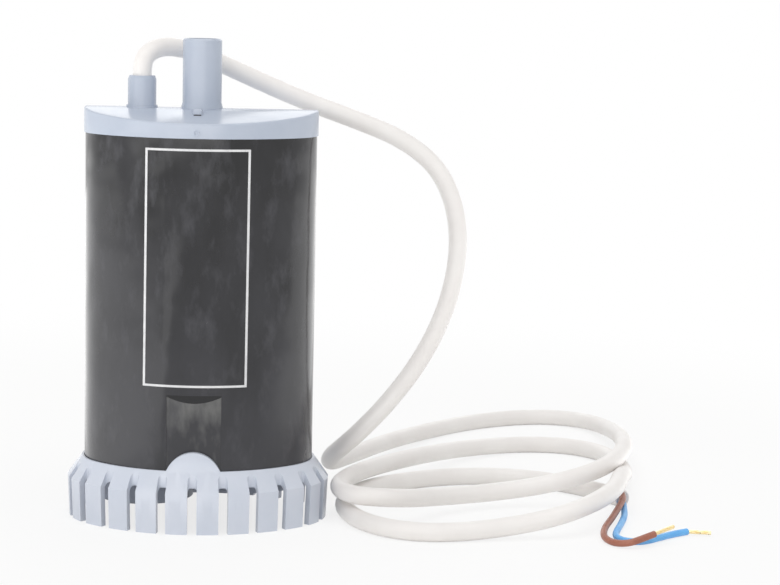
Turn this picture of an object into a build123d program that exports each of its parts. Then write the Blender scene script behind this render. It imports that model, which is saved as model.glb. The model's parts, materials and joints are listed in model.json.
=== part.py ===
from build123d import *
import os
from math import atan2, ceil, cos, degrees, pi, radians, sin, sqrt, tan

# Submersible caravan water pump with two motors in one oval housing, one above the other stage.
# Millimetres. The origin is the bottom centre of the strainer foot, +X along the long side of
# the oval, +Y to the back, +Z up. The outlet and the lead leave at the top.

# Motors, each in a dry capsule
can_radius = 13.85
can_wall = 1.2
can_floor = 1.5
can_length = 50.0
capsule_clearance = 0.45
capsule_wall = 1.5
capsule_floor = 2.5
capsule_gap = 1.6
seal_radius = 4.0
shaft_seal_height = 2.5
seat_wall = 3.0
shaft_radius = 1.15
shaft_fit = 0.05
shaft_hole_gap = 0.5
bush_wall = 1.9
bush_length = 4.0
magnet_thickness = 3.2
magnet_fit = 0.05
magnet_half_angle = 65.0
air_gap = 0.5
core_start = 11.0
core_length = 24.0
magnet_overhang = 5.0
pole_count = 3
pole_hub_wall = 2.6
pole_arm_width = 4.0
pole_shoe_thickness = 1.8
pole_shoe_half_angle = 50.0
coil_inset = 0.25
coil_thickness = 2.1
coil_gap = 0.1
coil_overhang = 3.0
commutator_gap = 5.0
commutator_length = 8.0
commutator_wall = 3.15
commutator_slit = 0.4
brush_width = 3.0
brush_height = 4.0
brush_length = 4.9
brush_gap = 0.05
arm_thickness = 0.5
arm_top_rise = 9.0
cap_plug_depth = 3.0
cap_plug_wall = 2.0
cap_plate = 3.0
cap_boss_height = 2.5
cap_boss_wall = 1.9
capacitor_wide = 5.0
capacitor_high = 8.0
capacitor_gap = 0.5
leg_radius = 0.3
terminal_space = 23.0

# Housing tube, round both capsules with a water passage beside them
housing_wall = 2.0
end_passage = 1.2
side_passage = 7.4
end_radius_passage = 0.7
plug_clearance = 0.1

# Flat recess in the housing above each latch of the foot
recess_width = 16.6
recess_depth = 1.0
recess_height = 25.5
recess_ramp = 2.6

# Strainer foot
foot_flare_long = 4.7
foot_flare_deep = 4.2
foot_flare_end = 4.4
tooth_draft = 0.5
crease_height = 12.5
cone_height = 7.1
socket_depth = 3.1
rim_wall = 0.65
foot_wall = 2.0
ledge_gap = 1.0
ledge_thickness = 1.5
socket_clearance = 0.15
slot_width = 2.9
slot_reach = 2.65
slot_corner = 0.8
slot_place_shares = (0, 0.173, 0.345, 0.518, 0.691, 0.845, 1)
latch_rise = 5.0
latch_clearance = 0.1

# Top cover, with the hose spigot and the cable stub moulded on
cover_overhang = 0.4
cover_ridge_rise = 7.5
roof_slope = radians(9.0)
ridge_round = 50.0
cover_round = 0.6
cover_wall = 2.0
skirt_depth = 7.9
skirt_wall = 2.0
seal_groove_rise = 2.0
seal_height = 2.4
seal_depth = 1.2
spigot_radius = 6.0
spigot_bore_radius = 4.5
spigot_length = 21.2
spigot_lip = 0.5
spigot_root_height = 1.7
root_proud = 0.45
stub_wall = 1.4
stub_length = 9.6
stub_root_height = 0.6
stub_taper = 0.4
stub_taper_height = 1.2
vent_radius = 1.6
vent_bore_radius = 0.5
vent_offset_x = 0.8
vent_gap = 2.1
riser_sleeve_wall = 1.9

# Lead and its two cores
lead_radius = 2.9
core_radius = 1.05
conductor_radius = 0.6
bare_length = 8.0
lead_fit = 0.05
lead_tail = 2.0
wire_radius = 0.8

# Lid over both capsules, with the dry riser to the cable stub
lid_thickness = 6.0
lid_plug_depth = 3.0
head_space = 13.9
riser_offset = 1.8
riser_wall = 2.4
riser_bore_clearance = 0.2
lead_seal_height = 4.0
channel_width = 4.8
channel_height = 3.0
channel_floor = 1.5
channel_gap = 6.6

# Pump stages: the left one draws in, the right one raises the pressure
left_casing_drop = 10.5
right_casing_drop = 6.5
chamber_radius = 12.5
casing_wall = 2.5
stage_cover_thickness = 2.0
collector_height = 1.9
right_chamber_height = 5.0
right_chamber_roof = 1.5
transfer_ring_height = 2.5
transfer_ring_wall = 2.0
stage_plate_thickness = 1.0
stage_eye_radius = 4.6
intake_eye_radius = 7.5
duct_width = 5.0
duct_offset = 8.0
duct_wall = 1.0
port_width = 5.0
port_depth = 3.5
port_inset = 8.0
port_gap = 0.5
impeller_tip_gap = 1.0
impeller_disc = 1.0
impeller_lift = 0.6
impeller_top_gap = 0.4
impeller_hub_wall = 2.85
nose_radius = 1.6
left_nose_drop = 6.1
right_nose_drop = 2.4
vane_count = 6
vane_thickness = 1.0
vane_start_share = 0.42
vane_end_share = 0.97
vane_sweep = 50.0

# Shared allowance by which cuts run past the faces they open
overrun = 2.0
# Each bend of a cord takes this share of the shorter run beside it
bend_share = 0.45

# Plan sizes, from the motors outwards
capsule_bore = can_radius + capsule_clearance
capsule_radius = capsule_bore + capsule_wall
motor_spacing = 2 * capsule_radius + capsule_gap
left_middle = -motor_spacing / 2
right_middle = motor_spacing / 2
housing_half_long = right_middle + capsule_radius + end_passage + housing_wall
housing_half_deep = capsule_radius + side_passage + housing_wall
housing_end_radius = capsule_radius + end_radius_passage + housing_wall
foot_half_long = housing_half_long + foot_flare_long
foot_half_deep = housing_half_deep + foot_flare_deep
foot_end_radius = housing_end_radius + foot_flare_end
stub_offset = right_middle + riser_offset

# Heights, from the floor upwards
rim_height = crease_height + cone_height
housing_bottom = rim_height - socket_depth
left_casing_bottom = housing_bottom - left_casing_drop
right_casing_bottom = housing_bottom - right_casing_drop
left_floor = left_casing_bottom + stage_cover_thickness
right_floor = right_casing_bottom + stage_cover_thickness
ring_top = right_floor + transfer_ring_height
stage_plate_top = ring_top + stage_plate_thickness
right_roof = stage_plate_top + right_chamber_height
deck_top = right_roof + right_chamber_roof
impeller_height = right_chamber_height - impeller_lift - impeller_top_gap
left_roof = left_floor + impeller_lift + impeller_height + collector_height
seal_bottom = deck_top + capsule_floor
motor_bottom = seal_bottom + shaft_seal_height
motor_top = motor_bottom + can_length
cap_top = motor_top + cap_plate + cap_boss_height
capsule_top = motor_top + terminal_space
lid_top = capsule_top + lid_thickness
housing_top = lid_top + head_space
skirt_bottom = housing_top - skirt_depth
seal_groove_bottom = skirt_bottom + seal_groove_rise
ridge_height = housing_top + cover_ridge_rise
roof_apex = ridge_height + ridge_round * (1 / cos(roof_slope) - 1)
front_edge_height = roof_apex - (housing_half_deep + cover_overhang) * tan(roof_slope)
ceiling_height = front_edge_height - cover_wall
spigot_top = ridge_height + spigot_length
stub_top = ridge_height + stub_length

housing_oval = (housing_half_long, housing_half_deep, housing_end_radius)
foot_oval = (foot_half_long, foot_half_deep, foot_end_radius)


# Ovals are four tangent arcs: half length, half depth and end radius
def grown(oval, extra):
    return tuple(size + extra for size in oval)


# Radius of the long side arcs and the angle at which they meet the end arcs
def side_arc(oval):
    half_long, half_deep, end_radius = oval
    reach = half_long - end_radius
    side_radius = (reach**2 + half_deep**2 - end_radius**2) / (2 * (half_deep - end_radius))
    return side_radius, atan2(reach, side_radius - half_deep)


# The four arcs, for use inside a BuildLine
def oval_arcs(oval):
    half_long, half_deep, end_radius = oval
    side_radius, lean = side_arc(oval)
    join_x = side_radius * sin(lean)
    join_y = side_radius * cos(lean) - (side_radius - half_deep)
    ThreePointArc((join_x, -join_y), (half_long, 0), (join_x, join_y))
    ThreePointArc((join_x, join_y), (0, half_deep), (-join_x, join_y))
    ThreePointArc((-join_x, join_y), (-half_long, 0), (-join_x, -join_y))
    ThreePointArc((-join_x, -join_y), (0, -half_deep), (join_x, -join_y))


# Point and outward direction at a share of the way round an oval from its front middle
def oval_place(oval, share):
    half_long, half_deep, end_radius = oval
    side_radius, lean = side_arc(oval)
    quarter = side_radius * lean + end_radius * (pi / 2 - lean)
    turns = share % 1 * 4
    away = quarter * min(turns % 2, 2 - turns % 2)
    if away <= side_radius * lean:
        swing = away / side_radius
        x = side_radius * sin(swing)
        y = side_radius * cos(swing) - (side_radius - half_deep)
    else:
        swing = lean + (away - side_radius * lean) / end_radius
        x = half_long - end_radius + end_radius * sin(swing)
        y = end_radius * cos(swing)
    side_x = 1 if turns < 2 else -1
    side_y = 1 if 1 < turns < 3 else -1
    return side_x * x, side_y * y, degrees(atan2(side_y * cos(swing), side_x * sin(swing)))


# Bend radii for a route of straight runs
def bend_radii(route):
    radii = []
    for before, here, after in zip(route, route[1:], route[2:]):
        into = Vector(*here) - Vector(*before)
        onward = Vector(*after) - Vector(*here)
        turn = into.get_angle(onward) * pi / 180
        radii.append(bend_share * min(into.length, onward.length) / tan(turn / 2))
    return radii


# Round tube along a route, as straight runs joined by tangent arcs
def cord_tube(route, radius):
    with BuildPart() as tube:
        with BuildLine() as path:
            FilletPolyline(*route, radius=bend_radii(route))
        with BuildSketch(Plane(origin=path.line @ 0, z_dir=path.line % 0)):
            Circle(radius)
        sweep(path=path.wires()[0])
    return tube, path.wires()[0]


os.makedirs("parts", exist_ok=True)
finished = {}

# Flat recess front and back, whose top runs out as a ramp that follows the curve of the tube
recess_top = housing_bottom + recess_height
with BuildPart() as latch_recess:
    with BuildSketch(Plane.XY.offset(housing_bottom)):
        Rectangle(recess_width, 2 * (housing_half_deep + overrun))
        Rectangle(recess_width, 2 * (housing_half_deep - recess_depth), mode=Mode.SUBTRACT)
    extrude(amount=recess_height)
    with BuildSketch(Plane.XY.offset(recess_top - 2 * recess_ramp)):
        with BuildLine():
            oval_arcs(grown(housing_oval, -2 * recess_depth))
        make_face()
    with BuildSketch(Plane.XY.offset(recess_top)):
        with BuildLine():
            oval_arcs(housing_oval)
        make_face()
    loft(ruled=True, mode=Mode.SUBTRACT)

# Housing: an oval tube with the latch recess, open at its lower edge
with BuildPart() as outer_housing:
    with BuildSketch(Plane.XY.offset(housing_bottom)):
        with BuildLine():
            oval_arcs(housing_oval)
        make_face()
        with BuildLine():
            oval_arcs(grown(housing_oval, -housing_wall))
        make_face(mode=Mode.SUBTRACT)
    extrude(amount=housing_top - housing_bottom)
    add(latch_recess.part, mode=Mode.SUBTRACT)
finished["outer_housing"] = outer_housing

# Latch tabs: an arched tongue front and back that lies in the housing's recess
latch_chord = recess_width - 2 * latch_clearance
rim_oval = grown(housing_oval, socket_clearance + rim_wall)
with BuildPart() as latch_tabs:
    with BuildSketch(Plane.XY.offset(housing_bottom)):
        with BuildLine():
            oval_arcs(rim_oval)
        make_face()
        Rectangle(
            2 * rim_oval[0] + overrun,
            2 * (housing_half_deep - recess_depth + latch_clearance),
            mode=Mode.SUBTRACT,
        )
    extrude(amount=rim_height + latch_rise - housing_bottom)
    with BuildSketch(Plane.XZ):
        with BuildLine():
            Polyline(
                (latch_chord / 2, rim_height),
                (latch_chord / 2, housing_bottom),
                (-latch_chord / 2, housing_bottom),
                (-latch_chord / 2, rim_height),
            )
            ThreePointArc(
                (-latch_chord / 2, rim_height),
                (0, rim_height + latch_rise),
                (latch_chord / 2, rim_height),
            )
        make_face()
    extrude(amount=rim_oval[1] + overrun, both=True, mode=Mode.INTERSECT)

# Strainer foot: flared oval skirt with open slots all round, a ledge for the housing and latches
crease_oval = grown(foot_oval, tooth_draft)
ledge_bottom = housing_bottom - ledge_thickness
cone_slope = atan2(crease_oval[0] - rim_oval[0], cone_height)
inner_crease_height = crease_height - foot_wall * tan(cone_slope / 2)
with BuildPart() as strainer_foot:
    for low, low_oval, high, high_oval in (
        (0, foot_oval, crease_height, crease_oval),
        (crease_height, crease_oval, rim_height, rim_oval),
    ):
        with BuildSketch(Plane.XY.offset(low)):
            with BuildLine():
                oval_arcs(low_oval)
            make_face()
        with BuildSketch(Plane.XY.offset(high)):
            with BuildLine():
                oval_arcs(high_oval)
            make_face()
        loft(ruled=True)
    for low, low_oval, high, high_oval in (
        (0, grown(foot_oval, -foot_wall), inner_crease_height, grown(crease_oval, -foot_wall)),
        (inner_crease_height, grown(crease_oval, -foot_wall), ledge_bottom, grown(housing_oval, ledge_gap)),
    ):
        with BuildSketch(Plane.XY.offset(low)):
            with BuildLine():
                oval_arcs(low_oval)
            make_face()
        with BuildSketch(Plane.XY.offset(high)):
            with BuildLine():
                oval_arcs(high_oval)
            make_face()
        loft(ruled=True, mode=Mode.SUBTRACT)
    with BuildSketch(Plane.XY.offset(ledge_bottom)):
        with BuildLine():
            oval_arcs(grown(housing_oval, -housing_wall))
        make_face()
    extrude(amount=ledge_thickness, mode=Mode.SUBTRACT)
    with BuildSketch(Plane.XY.offset(housing_bottom)):
        with BuildLine():
            oval_arcs(grown(housing_oval, socket_clearance))
        make_face()
    extrude(amount=rim_height - housing_bottom, mode=Mode.SUBTRACT)
    with BuildSketch():
        for quarter in range(4):
            for share in slot_place_shares[:-1] if quarter % 2 == 0 else slot_place_shares[1:]:
                along = share if quarter % 2 == 0 else 1 - share
                x, y, facing = oval_place(foot_oval, (quarter + along) / 4)
                outward = (overrun - slot_reach) / 2 * Vector(1, 0).rotate(Axis.Z, facing)
                with Locations(Location((x + outward.X, y + outward.Y, 0), (0, 0, facing))):
                    RectangleRounded(slot_reach + overrun, slot_width, slot_corner)
    extrude(amount=rim_height, mode=Mode.SUBTRACT)
    add(latch_tabs.part)
finished["strainer_foot"] = strainer_foot

# Riser and stub share one axis; the vent stands just in front of the spigot
riser_bore = lead_radius + riser_bore_clearance
riser_radius = riser_bore + riser_wall
vent_offset_y = spigot_radius + vent_gap + vent_radius

# Top cover: a low roof over the housing, sloped to the front and the back from a rounded ridge,
# with a plug skirt, hose spigot, cable stub and vent
cover_oval = grown(housing_oval, cover_overhang)
skirt_oval = grown(housing_oval, -housing_wall - plug_clearance)
stub_radius = lead_radius + lead_fit + stub_wall
eaves_y = cover_oval[1] + overrun
eaves_height = roof_apex - eaves_y * tan(roof_slope)
ridge_y = ridge_round * sin(roof_slope)
ridge_edge_height = roof_apex - ridge_y * tan(roof_slope)
with BuildPart() as top_cover:
    with BuildSketch(Plane.XY.offset(housing_top)):
        with BuildLine():
            oval_arcs(cover_oval)
        make_face()
    extrude(amount=ridge_height - housing_top)
    with BuildSketch(Plane.YZ):
        with BuildLine():
            Polyline(
                (-ridge_y, ridge_edge_height),
                (-eaves_y, eaves_height),
                (-eaves_y, housing_top - overrun),
                (eaves_y, housing_top - overrun),
                (eaves_y, eaves_height),
                (ridge_y, ridge_edge_height),
            )
            ThreePointArc((ridge_y, ridge_edge_height), (0, ridge_height), (-ridge_y, ridge_edge_height))
        make_face()
    extrude(amount=cover_oval[0] + overrun, both=True, mode=Mode.INTERSECT)
    roof_edges = top_cover.edges().filter_by(GeomType.LINE, reverse=True)
    fillet(roof_edges.filter_by(GeomType.CIRCLE, reverse=True), cover_round)
    with BuildSketch(Plane.XY.offset(skirt_bottom)):
        with BuildLine():
            oval_arcs(skirt_oval)
        make_face()
    extrude(amount=housing_top - skirt_bottom)
    with BuildSketch(Plane.XY.offset(seal_groove_bottom)):
        with BuildLine():
            oval_arcs(grown(skirt_oval, overrun))
        make_face()
        with BuildLine():
            oval_arcs(grown(skirt_oval, -seal_depth))
        make_face(mode=Mode.SUBTRACT)
    extrude(amount=seal_height, mode=Mode.SUBTRACT)
    with BuildSketch(Plane.XY.offset(skirt_bottom)):
        with BuildLine():
            oval_arcs(grown(skirt_oval, -skirt_wall))
        make_face()
    extrude(amount=ceiling_height - skirt_bottom, mode=Mode.SUBTRACT)
    with BuildSketch(Plane.XY.offset(ceiling_height)):
        Circle(spigot_radius)
    extrude(amount=spigot_top - ceiling_height)
    chamfer(top_cover.faces().sort_by(Axis.Z)[-1].edges(), spigot_lip)
    with BuildSketch(Plane.XY.offset(ceiling_height)):
        Circle(spigot_radius + root_proud)
        with Locations((-vent_offset_x, -vent_offset_y)):
            Circle(vent_radius)
    extrude(amount=ridge_height - ceiling_height)
    with BuildSketch(Plane.XY.offset(ridge_height)):
        Circle(spigot_radius + root_proud)
    with BuildSketch(Plane.XY.offset(ridge_height + spigot_root_height)):
        Circle(spigot_radius)
    loft()
    stub_axis = Plane(origin=(-stub_offset, 0, 0))
    with BuildSketch(stub_axis.offset(ceiling_height)):
        Circle(stub_radius)
    extrude(amount=stub_top - stub_taper_height - ceiling_height)
    with BuildSketch(stub_axis.offset(stub_top - stub_taper_height)):
        Circle(stub_radius)
    with BuildSketch(stub_axis.offset(stub_top)):
        Circle(stub_radius - stub_taper)
    loft()
    with BuildSketch(stub_axis.offset(ceiling_height)):
        Circle(stub_radius + root_proud)
    extrude(amount=ridge_height + stub_root_height - ceiling_height)
    with BuildSketch(Plane.XY.offset(skirt_bottom)):
        with Locations((-stub_offset, 0)):
            Circle(riser_radius + plug_clearance + riser_sleeve_wall)
    extrude(amount=ceiling_height - skirt_bottom)
    with BuildSketch(Plane.XY.offset(skirt_bottom)):
        with Locations((-stub_offset, 0)):
            Circle(riser_radius + plug_clearance)
    extrude(amount=ceiling_height - skirt_bottom, mode=Mode.SUBTRACT)
    with BuildSketch(Plane.XY.offset(ceiling_height)):
        Circle(spigot_bore_radius)
        with Locations((-stub_offset, 0)):
            Circle(lead_radius + lead_fit)
        with Locations((-vent_offset_x, -vent_offset_y)):
            Circle(vent_bore_radius)
    extrude(amount=spigot_top - ceiling_height, mode=Mode.SUBTRACT)
finished["top_cover"] = top_cover

# Rubber ring in the skirt's groove, squeezed against the inside of the housing
with BuildPart() as cover_seal:
    with BuildSketch(Plane.XY.offset(seal_groove_bottom)):
        with BuildLine():
            oval_arcs(grown(housing_oval, -housing_wall))
        make_face()
        with BuildLine():
            oval_arcs(grown(skirt_oval, -seal_depth))
        make_face(mode=Mode.SUBTRACT)
    extrude(amount=seal_height)
finished["cover_seal"] = cover_seal

# Pump body: deck across the housing with a casing for each stage below it
casing_radius = chamber_radius + casing_wall
shaft_hole_radius = shaft_radius + shaft_hole_gap
with BuildPart() as pump_body:
    with BuildSketch(Plane.XY.offset(housing_bottom)):
        with BuildLine():
            oval_arcs(skirt_oval)
        make_face()
    extrude(amount=deck_top - housing_bottom)
    for middle, floor in ((left_middle, left_floor), (right_middle, right_floor)):
        with BuildSketch(Plane.XY.offset(floor)):
            with Locations((middle, 0)):
                Circle(casing_radius)
        extrude(amount=housing_bottom - floor)
    with BuildSketch(Plane.XY.offset(right_floor)):
        with Locations((0, duct_offset)):
            Rectangle(motor_spacing - 2 * chamber_radius + 2 * duct_wall, duct_width + 2 * duct_wall)
    extrude(amount=housing_bottom - right_floor)
    for middle, floor, roof in (
        (left_middle, left_floor, left_roof),
        (right_middle, right_floor, right_roof),
    ):
        with BuildSketch(Plane.XY.offset(floor)):
            with Locations((middle, 0)):
                Circle(chamber_radius)
        extrude(amount=roof - floor, mode=Mode.SUBTRACT)
        with BuildSketch(Plane.XY.offset(roof)):
            with Locations((middle, 0)):
                Circle(shaft_hole_radius)
        extrude(amount=deck_top - roof, mode=Mode.SUBTRACT)
    with BuildSketch(Plane.XY.offset(right_floor + duct_wall)):
        with Locations((0, duct_offset)):
            Rectangle(motor_spacing - chamber_radius, duct_width)
    extrude(amount=transfer_ring_height - duct_wall, mode=Mode.SUBTRACT)
    port_x = right_middle - port_inset
    port_start = capsule_radius + port_gap
    with BuildSketch(Plane.XY.offset(housing_bottom + duct_wall)):
        with Locations((port_x, (port_start + port_depth) / 2)):
            Rectangle(port_width, port_start + port_depth)
        with Locations((right_middle, 0)):
            Circle(chamber_radius, mode=Mode.SUBTRACT)
    extrude(amount=right_roof - housing_bottom - duct_wall, mode=Mode.SUBTRACT)
    with BuildSketch(Plane.XY.offset(right_roof)):
        with Locations((port_x, port_start + port_depth / 2)):
            Rectangle(port_width, port_depth)
    extrude(amount=right_chamber_roof, mode=Mode.SUBTRACT)
finished["pump_body"] = pump_body

# Intake cover under the left stage, with its open eye round the impeller's nose
with BuildPart() as intake_cover:
    with BuildSketch(Plane.XY.offset(left_casing_bottom)):
        with Locations((left_middle, 0)):
            Circle(casing_radius)
            Circle(intake_eye_radius, mode=Mode.SUBTRACT)
    extrude(amount=stage_cover_thickness)
finished["intake_cover"] = intake_cover

# Transfer cover under the right stage: a closed disc with a ring that the duct opens into
with BuildPart() as transfer_cover:
    with BuildSketch(Plane.XY.offset(right_casing_bottom)):
        with Locations((right_middle, 0)):
            Circle(casing_radius)
    extrude(amount=stage_cover_thickness)
    with BuildSketch(Plane.XY.offset(right_floor)):
        with Locations((right_middle, 0)):
            Circle(chamber_radius - plug_clearance)
            Circle(chamber_radius - plug_clearance - transfer_ring_wall, mode=Mode.SUBTRACT)
        with Locations((0, duct_offset)):
            Rectangle(motor_spacing - chamber_radius, duct_width, mode=Mode.SUBTRACT)
    extrude(amount=transfer_ring_height)
finished["transfer_cover"] = transfer_cover

# Stage plate between the transfer space and the right impeller
with BuildPart() as stage_plate:
    with BuildSketch(Plane.XY.offset(ring_top)):
        with Locations((right_middle, 0)):
            Circle(chamber_radius - plug_clearance)
            Circle(stage_eye_radius, mode=Mode.SUBTRACT)
    extrude(amount=stage_plate_thickness)
finished["stage_plate"] = stage_plate

# Motor sizes, from the shaft outwards and from the can's wall inwards
bearing_radius = shaft_radius + shaft_fit
bush_radius = shaft_radius + bush_wall + shaft_fit
can_bore = can_radius - can_wall
magnet_outer = can_bore - magnet_fit
magnet_inner = magnet_outer - magnet_thickness
armature_radius = magnet_inner - air_gap
shoe_inner = armature_radius - pole_shoe_thickness
pole_hub_radius = shaft_radius + pole_hub_wall
coil_half_width = pole_arm_width / 2 + coil_gap + coil_thickness
coil_reach = sqrt((shoe_inner - coil_gap) ** 2 - coil_half_width**2)
coil_depth = coil_reach - pole_hub_radius - coil_inset
core_bottom = motor_bottom + core_start
commutator_radius = shaft_radius + commutator_wall
commutator_bottom = core_bottom + core_length + commutator_gap
brush_bottom = commutator_bottom + (commutator_length - brush_height) / 2
arm_offset = commutator_radius + brush_gap + brush_length
arm_top = motor_top + arm_top_rise
impeller_radius = chamber_radius - impeller_tip_gap
impeller_hub_radius = shaft_radius + impeller_hub_wall

sides = (
    ("left", left_middle, left_floor + impeller_lift, left_nose_drop),
    ("right", right_middle, stage_plate_top + impeller_lift, right_nose_drop),
)
for side, middle, impeller_bottom, nose_drop in sides:
    axis_plane = Plane(origin=(middle, 0, 0))
    impeller_top = impeller_bottom + impeller_height

    # Capsule: a cup that keeps one motor dry, with a raised seat for the shaft seal
    with BuildPart() as motor_capsule:
        with BuildSketch(axis_plane.offset(deck_top)):
            Circle(capsule_radius)
        extrude(amount=capsule_top - deck_top)
        with BuildSketch(axis_plane.offset(seal_bottom)):
            Circle(capsule_bore)
            Circle(seal_radius + seat_wall, mode=Mode.SUBTRACT)
        extrude(amount=motor_bottom - seal_bottom, mode=Mode.SUBTRACT)
        with BuildSketch(axis_plane.offset(motor_bottom)):
            Circle(capsule_bore)
        extrude(amount=capsule_top - motor_bottom, mode=Mode.SUBTRACT)
        with BuildSketch(axis_plane.offset(seal_bottom)):
            Circle(seal_radius)
        extrude(amount=shaft_seal_height, mode=Mode.SUBTRACT)
        with BuildSketch(axis_plane.offset(deck_top)):
            Circle(shaft_hole_radius)
        extrude(amount=capsule_floor, mode=Mode.SUBTRACT)
    finished["motor_capsule_" + side] = motor_capsule

    # Shaft seal: a rubber ring that runs on the shaft
    with BuildPart() as shaft_seal:
        with BuildSketch(axis_plane.offset(seal_bottom)):
            Circle(seal_radius)
            Circle(bearing_radius, mode=Mode.SUBTRACT)
        extrude(amount=shaft_seal_height)
    finished["shaft_seal_" + side] = shaft_seal

    # Motor can: deep-drawn steel cup, open at the top
    with BuildPart() as motor_can:
        with BuildSketch(axis_plane.offset(motor_bottom)):
            Circle(can_radius)
        extrude(amount=can_length)
        with BuildSketch(axis_plane.offset(motor_bottom + can_floor)):
            Circle(can_bore)
        extrude(amount=can_length - can_floor, mode=Mode.SUBTRACT)
        with BuildSketch(axis_plane.offset(motor_bottom)):
            Circle(bush_radius)
        extrude(amount=can_floor, mode=Mode.SUBTRACT)
    finished["motor_can_" + side] = motor_can

    # Sintered bushes at both ends of the motor
    for end, bush_bottom in (("lower", motor_bottom), ("upper", cap_top - bush_length)):
        with BuildPart() as bush:
            with BuildSketch(axis_plane.offset(bush_bottom)):
                Circle(bush_radius)
                Circle(bearing_radius, mode=Mode.SUBTRACT)
            extrude(amount=bush_length)
        finished[end + "_bush_" + side] = bush

    # End cap: moulded lid of the motor, with a boss for the upper bush and slits for the arms
    with BuildPart() as motor_end_cap:
        with BuildSketch(axis_plane.offset(motor_top)):
            Circle(can_radius)
        extrude(amount=cap_plate)
        with BuildSketch(axis_plane.offset(motor_top)):
            Circle(bush_radius + cap_boss_wall)
        extrude(amount=cap_plate + cap_boss_height)
        with BuildSketch(axis_plane.offset(motor_top - cap_plug_depth)):
            Circle(can_bore - magnet_fit)
            Circle(can_bore - magnet_fit - cap_plug_wall, mode=Mode.SUBTRACT)
        extrude(amount=cap_plug_depth)
        with BuildSketch(axis_plane.offset(cap_top - bush_length)):
            Circle(bush_radius)
        extrude(amount=bush_length, mode=Mode.SUBTRACT)
        with BuildSketch(axis_plane.offset(motor_top)):
            Circle(shaft_hole_radius)
            with Locations((0, arm_offset + arm_thickness / 2), (0, -arm_offset - arm_thickness / 2)):
                Rectangle(brush_width, arm_thickness)
        extrude(amount=cap_plate, mode=Mode.SUBTRACT)
    finished["motor_end_cap_" + side] = motor_end_cap

    # Two ferrite magnet shells bonded inside the can
    with BuildPart() as magnets:
        with BuildSketch(axis_plane.offset(core_bottom - magnet_overhang)):
            for facing in (-magnet_half_angle, 180 - magnet_half_angle):
                with BuildLine():
                    outer = CenterArc((0, 0), magnet_outer, facing, 2 * magnet_half_angle)
                    inner = CenterArc((0, 0), magnet_inner, facing, 2 * magnet_half_angle)
                    Line(outer @ 0, inner @ 0)
                    Line(outer @ 1, inner @ 1)
                make_face()
        extrude(amount=core_length + 2 * magnet_overhang)
    finished["magnets_" + side] = magnets

    # Carbon brushes on the commutator, front and back
    with BuildPart() as brushes:
        with BuildSketch(axis_plane.offset(brush_bottom)):
            Rectangle(brush_width, 2 * arm_offset)
            Circle(commutator_radius + brush_gap, mode=Mode.SUBTRACT)
        extrude(amount=brush_height)
    finished["brushes_" + side] = brushes

    # Brass arms that carry the brushes and end as the motor's tags
    with BuildPart() as brush_arms:
        with BuildSketch(axis_plane.offset(brush_bottom)):
            with Locations((0, arm_offset + arm_thickness / 2), (0, -arm_offset - arm_thickness / 2)):
                Rectangle(brush_width, arm_thickness)
        extrude(amount=arm_top - brush_bottom)
    finished["brush_arms_" + side] = brush_arms

    # Interference capacitor across the motor's tags
    capacitor_bottom = cap_top + capacitor_gap
    with BuildPart() as capacitor:
        with BuildSketch(axis_plane.offset(capacitor_bottom)):
            RectangleRounded(capacitor_wide, arm_offset + 2 * arm_thickness, capacitor_wide / 5)
        extrude(amount=capacitor_high)
        leg_plane = Plane(origin=(middle, 0, capacitor_bottom + leg_radius), z_dir=(0, 1, 0))
        with BuildSketch(leg_plane):
            Circle(leg_radius)
        extrude(amount=arm_offset, both=True)
    finished["capacitor_" + side] = capacitor

    # Shaft, turned by the motor and carrying the impeller
    with BuildPart() as shaft:
        with BuildSketch(axis_plane.offset(impeller_bottom)):
            Circle(shaft_radius)
        extrude(amount=cap_top - impeller_bottom)
    finished["shaft_" + side] = shaft

    # Laminated core with three arms and pole shoes
    with BuildPart() as armature_core:
        with BuildSketch(axis_plane.offset(core_bottom)):
            for pole in range(pole_count):
                facing = 360 * pole / pole_count
                shoe_start = facing - pole_shoe_half_angle
                with BuildLine():
                    outer = CenterArc((0, 0), armature_radius, shoe_start, 2 * pole_shoe_half_angle)
                    inner = CenterArc((0, 0), shoe_inner, shoe_start, 2 * pole_shoe_half_angle)
                    Line(outer @ 0, inner @ 0)
                    Line(outer @ 1, inner @ 1)
                make_face()
                reach = (shoe_inner + armature_radius) / 2
                along = Vector(reach / 2, 0).rotate(Axis.Z, facing)
                with Locations(Location((along.X, along.Y, 0), (0, 0, facing))):
                    Rectangle(reach, pole_arm_width)
            Circle(pole_hub_radius)
            Circle(shaft_radius, mode=Mode.SUBTRACT)
        extrude(amount=core_length)
    finished["armature_core_" + side] = armature_core

    # Three enamelled coils round the arms, one solid each
    coil_middle = pole_hub_radius + coil_inset + coil_depth / 2
    with BuildPart() as windings:
        for pole in range(pole_count):
            facing = 360 * pole / pole_count
            along = Vector(coil_middle, 0).rotate(Axis.Z, facing)
            place = Location((middle + along.X, along.Y, core_bottom + core_length / 2), (0, 0, facing))
            with BuildSketch(Plane(place * Plane.YZ.location)):
                RectangleRounded(2 * coil_half_width, core_length + 2 * coil_overhang, coil_thickness)
                Rectangle(pole_arm_width + 2 * coil_gap, core_length + 2 * coil_gap, mode=Mode.SUBTRACT)
            extrude(amount=coil_depth / 2, both=True)
    finished["windings_" + side] = windings

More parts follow.
